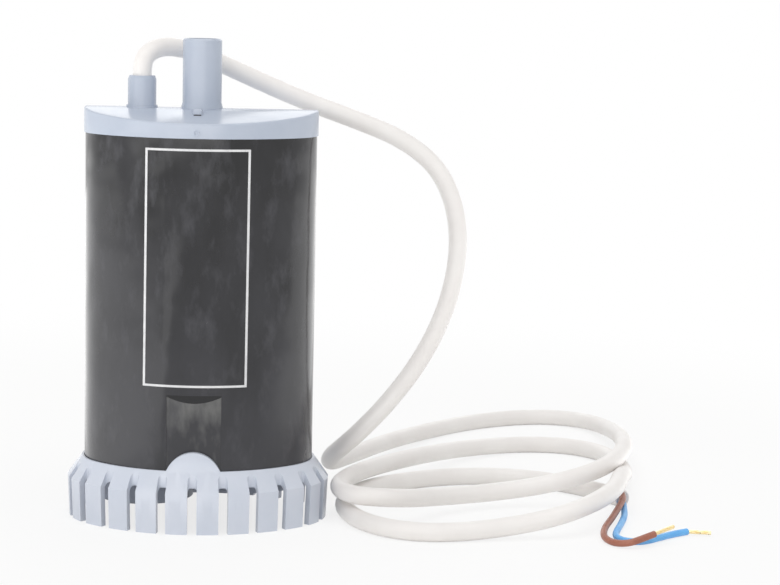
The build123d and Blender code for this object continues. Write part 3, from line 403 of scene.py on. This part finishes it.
# A merged copy of a CAD node with softened edges
def softenedCopy(name, look):
    node, body = look["node"], look["body"]
    mesh = bmesh.new()
    mesh.from_mesh(frame["nodes"][node].data)
    bmesh.ops.remove_doubles(mesh, verts=mesh.verts, dist=softening["mergeWithin"] * mm)
    bmesh.ops.dissolve_limit(
        mesh, angle_limit=math.radians(softening["flatAngle"]), verts=mesh.verts, edges=mesh.edges)
    if "lowered" in look:
        drawDown(mesh, *look["lowered"])
    slot = slotOf[node]
    # the foot takes the cover's finish painted a shade lighter, as painted light from the floor
    materials = [footAbsPaintedLight if node == "strainer_foot" else finishes[slot]]
    if node == "outer_housing":
        markRecess(mesh)
        materials += recessFinishes
    piece = finishPiece(name, mesh, materials, body)
    rounding = piece.modifiers.new("moulded edges", "BEVEL")
    rounding.width = look["rounding"] * mm
    rounding.segments = softening["segments"]
    rounding.limit_method = "ANGLE"
    rounding.angle_limit = math.radians(sharpAngle)
    rounding.use_clamp_overlap = True
    rounding.harden_normals = True
    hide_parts(node)


for name, look in mouldedPieces.items():
    softenedCopy(name, look)
print("housing, cover and foot softened")

# Printed line frame on the front of the housing; the panel inside it stays bare
printFrame = {
    "halfWidth": 15.36, "bottom": 44.8, "top": 116.15, "line": 0.68, "ink": 0.03,
    "aside": 0.25, "lean": 0.3, "over": 0.01,
    "columns": (48, 2),  # of a level bar, which follows the curve, and of an upright one
    "endRadius": 18.5,  # of the housing's rounded ends
}


# Depth of the housing's front at a distance from the middle: a shallow arc between the round ends
def housingFront(x):
    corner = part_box("outer_housing")[1]
    halfLong, halfDeep = corner.x, corner.y
    endRadius = printFrame["endRadius"] * mm
    reach = halfLong - endRadius
    sideRadius = (reach**2 + halfDeep**2 - endRadius**2) / (2 * (halfDeep - endRadius))
    return -(math.sqrt(sideRadius**2 - x**2) - (sideRadius - halfDeep))


def makePrintFrame():
    look = printFrame
    half, line, ink = look["halfWidth"] * mm, look["line"] * mm, look["ink"] * mm
    bottom, top = look["bottom"] * mm, look["top"] * mm
    middle = (bottom + top) / 2
    reach, between = half + line / 2, (top - bottom - line) / 2
    many, few = look["columns"]
    bars = [  # centre x, centre z, half width, half height, columns
        (0, bottom, reach, line / 2, many),
        (0, top, reach, line / 2, many),
        (-half, middle, line / 2, between, few),
        (half, middle, line / 2, between, few),
    ]
    mesh = bmesh.new()
    upright = Matrix.Rotation(math.radians(90), 4, "X")
    for x, z, wide, high, columns in bars:
        shape = Matrix.Translation((x, 0, z)) @ upright @ Matrix.Diagonal((wide, high, 1, 1))
        bmesh.ops.create_grid(mesh, x_segments=columns, y_segments=1, size=1, matrix=shape)
    for corner in mesh.verts:
        corner.co.x += look["aside"] * mm + (corner.co.z - middle) * math.tan(math.radians(look["lean"]))
        corner.co.y = housingFront(corner.co.x) - look["over"] * mm
    bmesh.ops.recalc_face_normals(mesh, faces=mesh.faces)
    if mesh.faces[0].normal.y > 0:
        bmesh.ops.reverse_faces(mesh, faces=mesh.faces)
    bmesh.ops.solidify(mesh, geom=mesh.faces[:], thickness=-ink)
    finishPiece("printedFrame", mesh, [printInk])


makePrintFrame()
print("printed frame made")

# The witness of the moulding gate on the front of the cover: a low rim round a sunk middle
gateMark = {
    "x": 0.1, "z": 121.3, "radius": 0.9, "sides": 24, "smoothAngle": 60,
    "rise": 0.32, "rim": 0.22, "wall": 0.12, "sink": 0.24,
    "behind": 0.04,  # how far inside the cover's front it starts
}


# Extrudes one face where it stands, and gives the new face back
def growFace(mesh, face, keepBase):
    grown = bmesh.ops.extrude_face_region(mesh, geom=[face], use_keep_orig=keepBase)
    return [item for item in grown["geom"] if isinstance(item, bmesh.types.BMFace)][0]


def makeGateMark():
    look = gateMark
    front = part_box("top_cover")[0].y
    place = Matrix.Translation((look["x"] * mm, front + look["behind"] * mm, look["z"] * mm))
    mesh = bmesh.new()
    ring = bmesh.ops.create_circle(
        mesh, cap_ends=True, segments=look["sides"], radius=look["radius"] * mm,
        matrix=place @ Matrix.Rotation(math.radians(90), 4, "X"))
    face = growFace(mesh, ring["verts"][0].link_faces[0], True)
    bmesh.ops.translate(mesh, vec=(0, -look["rise"] * mm, 0), verts=list(face.verts))
    bmesh.ops.inset_region(mesh, faces=[face], thickness=look["rim"] * mm)
    bmesh.ops.inset_region(mesh, faces=[face], thickness=look["wall"] * mm)
    bmesh.ops.translate(mesh, vec=(0, look["sink"] * mm, 0), verts=list(face.verts))
    finishPiece("gateMark", mesh, [finishes["pale"]], smoothAngle=look["smoothAngle"])


# The vent in front of the spigot: a small rounded cap, and under its front edge a thin dark rubber block
# that stands for the slit, painted shade. Each is sunk by so much into the cover at its own front.
ventPieces = {
    "ventCap": {
        "slot": "pale", "centre": (-0.45, -12.3), "size": (2.9, 3.4, 2.6), "rounding": 0.6, "sunk": 0.7},
    "ventFlap": {
        "slot": "seal_rubber", "centre": (-0.45, -14), "size": (2.3, 0.3, 0.5), "rounding": 0.1,
        "sunk": 0.2},
}


# Height of the cover's top at a place, met from well above it
def coverTop(x, y):
    mesh = bmesh.new()
    mesh.from_mesh(frame["nodes"]["top_cover"].data)
    start = Vector((x, y, 2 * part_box("top_cover")[1].z))
    place = BVHTree.FromBMesh(mesh).ray_cast(start, Vector((0, 0, -1)))[0]
    mesh.free()
    return place.z


# Rounds edges of a bmesh by so many metres
def roundEdges(mesh, edges, rounding):
    bmesh.ops.bevel(
        mesh, geom=edges, offset=rounding, offset_type="OFFSET", affect="EDGES",
        segments=softening["segments"], profile=0.5, material=-1)


def makeVentPiece(name, look):
    x, y = (part * mm for part in look["centre"])
    wide, deep, high = (side * mm for side in look["size"])
    foot = coverTop(x, y - deep / 2) - look["sunk"] * mm
    mesh = bmesh.new()
    shape = Matrix.Translation((x, y, foot + high / 2)) @ Matrix.Diagonal((wide, deep, high, 1))
    bmesh.ops.create_cube(mesh, size=1, matrix=shape)
    roundEdges(mesh, mesh.edges[:], look["rounding"] * mm)
    finishPiece(name, mesh, [finishes[look["slot"]]])


makeGateMark()
for name, look in ventPieces.items():
    makeVentPiece(name, look)
print("gate mark and vent made")

# The lead and its cores lie as their CAD tubes do, moved by up to 3 mm to follow the photograph's
# loops. Places in millimetres.
leadRoute = [
    (-18.4, 0, 137), (-18.4, 0, 141), (-16.6, 2.5, 144.1), (-12.9, 7.5, 145.7), (-7.6, 12.5, 145.3),
    (-0.5, 17.5, 142.8), (11, 20, 137.6), (29.5, 20.5, 129.7), (46.7, 20, 123.8), (62, 20, 118),
    (73.4, 21, 109.6), (79.4, 22, 98), (81.4, 22, 85), (79.9, 21, 71.4), (75.6, 19, 58), (68.4, 16, 45),
    (59.5, 13.5, 33.6), (51.4, 13.5, 24.8), (45.4, 17.5, 18.4), (41.4, 26, 13.2), (41, 34.5, 9.2),
    (47, 54.5, 7), (60.5, 91, 4.6), (75.5, 118.5, 3.1), (91.5, 137, 2.9), (108.7, 148.7, 2.9),
    (125.2, 152.2, 2.9), (139, 143.6, 3.2), (145.4, 119, 4.8), (144.9, 80, 8.8), (139.4, 45, 11.9),
    (131.4, 24.5, 11.5), (120.7, 16.6, 9.4), (108.4, 15.8, 6.6), (94.6, 13.5, 5), (80, 5.5, 5.4),
    (67.5, -9, 7.8), (58.5, -14.5, 9.1), (51, -14.5, 9.5), (46.1, -10, 9.6), (44.1, -2.5, 9.6),
    (45.2, 6.5, 9.6), (51, 21.5, 9.4), (63.2, 45.2, 7.8), (78.6, 72.8, 5.2), (94.5, 91.6, 3.4),
    (111.4, 100.2, 2.9), (127.5, 98.2, 2.9), (139.1, 85.7, 2.9), (142, 63.5, 2.9), (139.9, 41.5, 5.2),
    (136.1, 21, 9.6), (131.3, -3, 10), (120.2, -21.7, 9), (107.9, -26.5, 6), (95, -27.5, 3.6),
    (81.6, -31.6, 2.9), (68.8, -33.1, 2.9), (56.8, -27.1, 2.9), (47.9, -13.5, 2.9), (45.2, 5.8, 2.9),
    (51, 22.5, 2.9), (63.8, 35, 2.9), (77.4, 43.2, 2.9), (92.5, 46.9, 2.9), (107.6, 44.4, 2.9),
    (120.6, 36, 2.9), (130.2, 25.8, 2.9), (136, 16.6, 2.9),
]
brownRoute = [
    (136, 16.6, 4.15), (136.3, 15, 4), (135.4, 10, 3.5), (133.3, 3, 3),
    (130, -8, 2.3), (127, -16, 1.5), (125.5, -23, 1.1), (125.4, -30, 1.1),
    (127.6, -35.1, 1.1), (131.6, -37.3, 1.7), (135.4, -35.8, 2.7), (139.8, -33.2, 3.7),
]
blueRoute = [
    (136, 16.6, 1.65), (136.4, 15, 1.65), (135.9, 9, 1.3), (135, 0, 1.1),
    (132.5, -11, 1.2), (130.1, -19.5, 1.1), (128.8, -26.5, 1.2), (130, -31.2, 1.1),
    (133.4, -33.4, 1.2), (137.6, -31.8, 1.1), (142.2, -27.6, 1.2), (147.2, -22.4, 1.1),
    (151.8, -19.2, 1.1),
]
cords = {
    "leadRadius": 2.9, "coreRadius": 1.05, "bareLength": 7.4,
    "brownTip": (0.84, 0.5, 0.2), "blueTip": (0.98, -0.15, 0),  # where the bare tips point
    "leadLength": 1.131, "brownLength": 0.07, "blueLength": 0.078,  # metres
    "splineOrder": 3, "stepsPerPoint": 10, "roundness": 8,
}


# One smooth spline with the route's points as its control points
def makeCord(name, route, radius, slot):
    data = bpy.data.curves.new(name, "CURVE")
    data.dimensions = "3D"
    spline = data.splines.new("NURBS")
    spline.points.add(len(route) - 1)
    for point, place in zip(spline.points, route):
        point.co = (*(Vector(place) * mm), 1)
    spline.order_u = cords["splineOrder"]
    spline.use_endpoint_u = True
    spline.resolution_u = cords["stepsPerPoint"]
    data.resolution_u = cords["stepsPerPoint"]
    data.bevel_depth = radius * mm
    data.bevel_resolution = cords["roundness"]
    data.use_fill_caps = True
    data.twist_mode = "MINIMUM"
    data.materials.append(finishes[slot])
    piece = placeObject(name, data)
    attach(piece, "pump")
    return piece


# Turns a shape made upright at the origin on to the end of a route, to point along a direction
def endStand(route, along):
    turn = Vector(along).to_track_quat("Z", "Y").to_matrix().to_4x4()
    return Matrix.Translation(Vector(route[-1]) * mm) @ turn


# The cut end of the sheath stands a little proud round the cores that come out of it
sheathLip = {
    "radius": 2.87, "wall": 0.58, "behind": 0.3, "proud": 0.45, "rounding": 0.16,
    "steps": 48, "squareAngle": 60,
}


def makeSheathLip():
    look = sheathLip
    outer, inner = look["radius"] * mm, (look["radius"] - look["wall"]) * mm
    low, high = -look["behind"] * mm, look["proud"] * mm
    corners = ((inner, low), (outer, low), (outer, high), (inner, high))
    mesh = bmesh.new()
    section = [mesh.verts.new((x, 0, z)) for x, z in corners]
    sides = [mesh.edges.new((section[number - 1], section[number])) for number in range(len(section))]
    bmesh.ops.spin(
        mesh, geom=section + sides, cent=(0, 0, 0), axis=(0, 0, 1), angle=math.tau,
        steps=look["steps"], use_merge=True)
    square = math.radians(look["squareAngle"])
    roundEdges(
        mesh, [edge for edge in mesh.edges if edge.calc_face_angle(0) > square], look["rounding"] * mm)
    along = Vector(leadRoute[-1]) - Vector(leadRoute[-2])
    bmesh.ops.transform(mesh, matrix=endStand(leadRoute, along), verts=mesh.verts)
    return finishPiece("sheathLip", mesh, [finishes["sheath"]])


# Fine strands twisted round one in the middle, beyond the cut end of a core: millimetres, and the
# turn of the twist in degrees
strands = {
    "around": 7, "radius": 0.2, "bundleRadius": 0.42, "heart": 0.3, "turn": 100,
    "steps": 14, "sides": 8, "smoothAngle": 60,
}


def makeBareEnd(name, route, along, node):
    look = strands
    rise, twist = cords["bareLength"] * mm / look["steps"], math.radians(look["turn"]) / look["steps"]
    climb = Matrix.Translation((0, 0, rise)) @ Matrix.Rotation(twist, 4, "Z")
    mesh = bmesh.new()
    for number in range(look["around"] + 1):
        isHeart = number == look["around"]
        away = 0 if isHeart else look["bundleRadius"] * mm
        thick = look["heart"] if isHeart else look["radius"]
        angle = math.tau * number / look["around"]
        start = Matrix.Rotation(angle, 4, "Z") @ Matrix.Translation((away, 0, 0))
        ring = bmesh.ops.create_circle(
            mesh, cap_ends=True, segments=look["sides"], radius=thick * mm, matrix=start)
        face = ring["verts"][0].link_faces[0]
        for step in range(look["steps"]):
            face = growFace(mesh, face, step == 0)
            bmesh.ops.transform(mesh, matrix=climb, verts=list(face.verts))
        face.material_index = 1
    bmesh.ops.transform(mesh, matrix=endStand(route, along), verts=mesh.verts)
    piece = finishPiece(
        name, mesh, [finishes["conductor"], cutCopper], smoothAngle=look["smoothAngle"])
    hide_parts(node)
    return piece


lead = makeCord("leadSheath", leadRoute, cords["leadRadius"], "sheath")
brownCore = makeCord("brownCore", brownRoute, cords["coreRadius"], "brown_insulation")
blueCore = makeCord("blueCore", blueRoute, cords["coreRadius"], "blue_insulation")
cutEnd = makeSheathLip()
brownEnd = makeBareEnd("brownBareEnd", brownRoute, cords["brownTip"], "conductor_brown")
blueEnd = makeBareEnd("blueBareEnd", blueRoute, cords["blueTip"], "conductor_blue")
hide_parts("lead")
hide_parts("core_brown")
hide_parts("core_blue")
print("lead and cores laid")

# Plain pale floor with the object's shadow, in a white room with soft lamps. Sizes in metres.
studio = {
    "floorColour": "#f9f9f8", "floorSize": 8, "floorRoughness": 0.9,
    "shadowLift": 0.78, "fadeFrom": 0.2, "fadeTo": 0.45,
    "sky": 0.55,
    "lamps": [  # name, place, the point it faces, width and height, watts
        ("overhead", (0, -0.2, 1.5), (0, 0, 0.06), (1.5, 1.2), 8),
        ("front", (-0.5, -1.3, 0.35), (0, 0, 0.03), (2.4, 0.7), 7),
        ("behind", (0, 1.4, 0.8), (0, 0, 0.06), (1.2, 0.6), 2.5),
        ("floorGlowLeft", (-0.68, 0.3, 0.003), (-0.68, 0.3, 1), (1.2, 1.3), 4.5),
        ("floorGlowRight", (0.7, 0.5, 0.003), (0.7, 0.5, 1), (1.1, 1.2), 3.4),
    ],
}


# Whether a ray shows what it meets: the camera's own, or one that a gloss or a clear piece sends on
def isSeen(tree):
    path = addNode(tree, "ShaderNodeLightPath")
    mirrored = addNode(tree, "ShaderNodeMath", {"operation": "MAXIMUM"}, {
        0: path.outputs["Is Glossy Ray"], 1: path.outputs["Is Transmission Ray"]})
    seen = addNode(tree, "ShaderNodeMath", {"operation": "MAXIMUM"}, {
        0: path.outputs["Is Camera Ray"], 1: mirrored.outputs["Value"]})
    return seen.outputs["Value"]


def makeFloor():
    look = studio
    mesh = bmesh.new()
    bmesh.ops.create_grid(mesh, x_segments=1, y_segments=1, size=look["floorSize"] / 2)
    floor = placeMesh("studioFloor", mesh)
    # white paper sweep: matt, and plain white farther off, where the room is white too
    material, tree, shader, place = startMaterial("whitePaperSweep", {
        "Base Color": toLinear(look["floorColour"]), "Roughness": look["floorRoughness"]})
    away = addNode(tree, "ShaderNodeVectorMath", {"operation": "LENGTH"}, {0: place})
    lift = addNode(tree, "ShaderNodeMapRange", {"interpolation_type": "SMOOTHSTEP"}, {
        "Value": away.outputs["Value"], "From Min": look["fadeFrom"], "From Max": look["fadeTo"],
        "To Min": look["shadowLift"], "To Max": 1})
    shown = addNode(tree, "ShaderNodeMath", {"operation": "MULTIPLY"}, {
        0: lift.outputs["Result"], 1: isSeen(tree)})
    white = addNode(tree, "ShaderNodeEmission", inputs={"Color": (1, 1, 1, 1), "Strength": 1})
    paper = addNode(tree, "ShaderNodeMixShader", inputs={
        0: shown.outputs["Value"], 1: shader.outputs["BSDF"], 2: white.outputs["Emission"]})
    output = [node for node in tree.nodes if node.type == "OUTPUT_MATERIAL"][0]
    tree.links.new(paper.outputs["Shader"], output.inputs["Surface"])
    floor.data.materials.append(material)


def makeLight():
    look = studio
    for name, place, towards, (width, height), watts in look["lamps"]:
        lamp = bpy.data.lights.new(name, "AREA")
        lamp.shape = "RECTANGLE"
        lamp.size, lamp.size_y = width, height
        lamp.energy = watts
        stand = placeObject(name, lamp)
        stand.location = place
        stand.rotation_mode = "QUATERNION"
        stand.rotation_quaternion = (Vector(towards) - Vector(place)).to_track_quat("-Z", "Y")
        stand.visible_camera = False
    world = bpy.data.worlds.new("whiteRoom")
    world.use_nodes = True
    tree = world.node_tree
    tree.nodes.clear()
    room = addNode(tree, "ShaderNodeBackground", inputs={
        "Color": (1, 1, 1, 1), "Strength": look["sky"]})
    white = addNode(tree, "ShaderNodeBackground", inputs={"Color": (1, 1, 1, 1), "Strength": 1})
    mix = addNode(tree, "ShaderNodeMixShader", inputs={
        0: isSeen(tree), 1: room.outputs["Background"], 2: white.outputs["Background"]})
    addNode(tree, "ShaderNodeOutputWorld", inputs={"Surface": mix.outputs["Shader"]})
    bpy.context.scene.world = world
    bpy.context.scene.view_settings.view_transform = "Standard"


makeFloor()
makeLight()
print("studio lit")
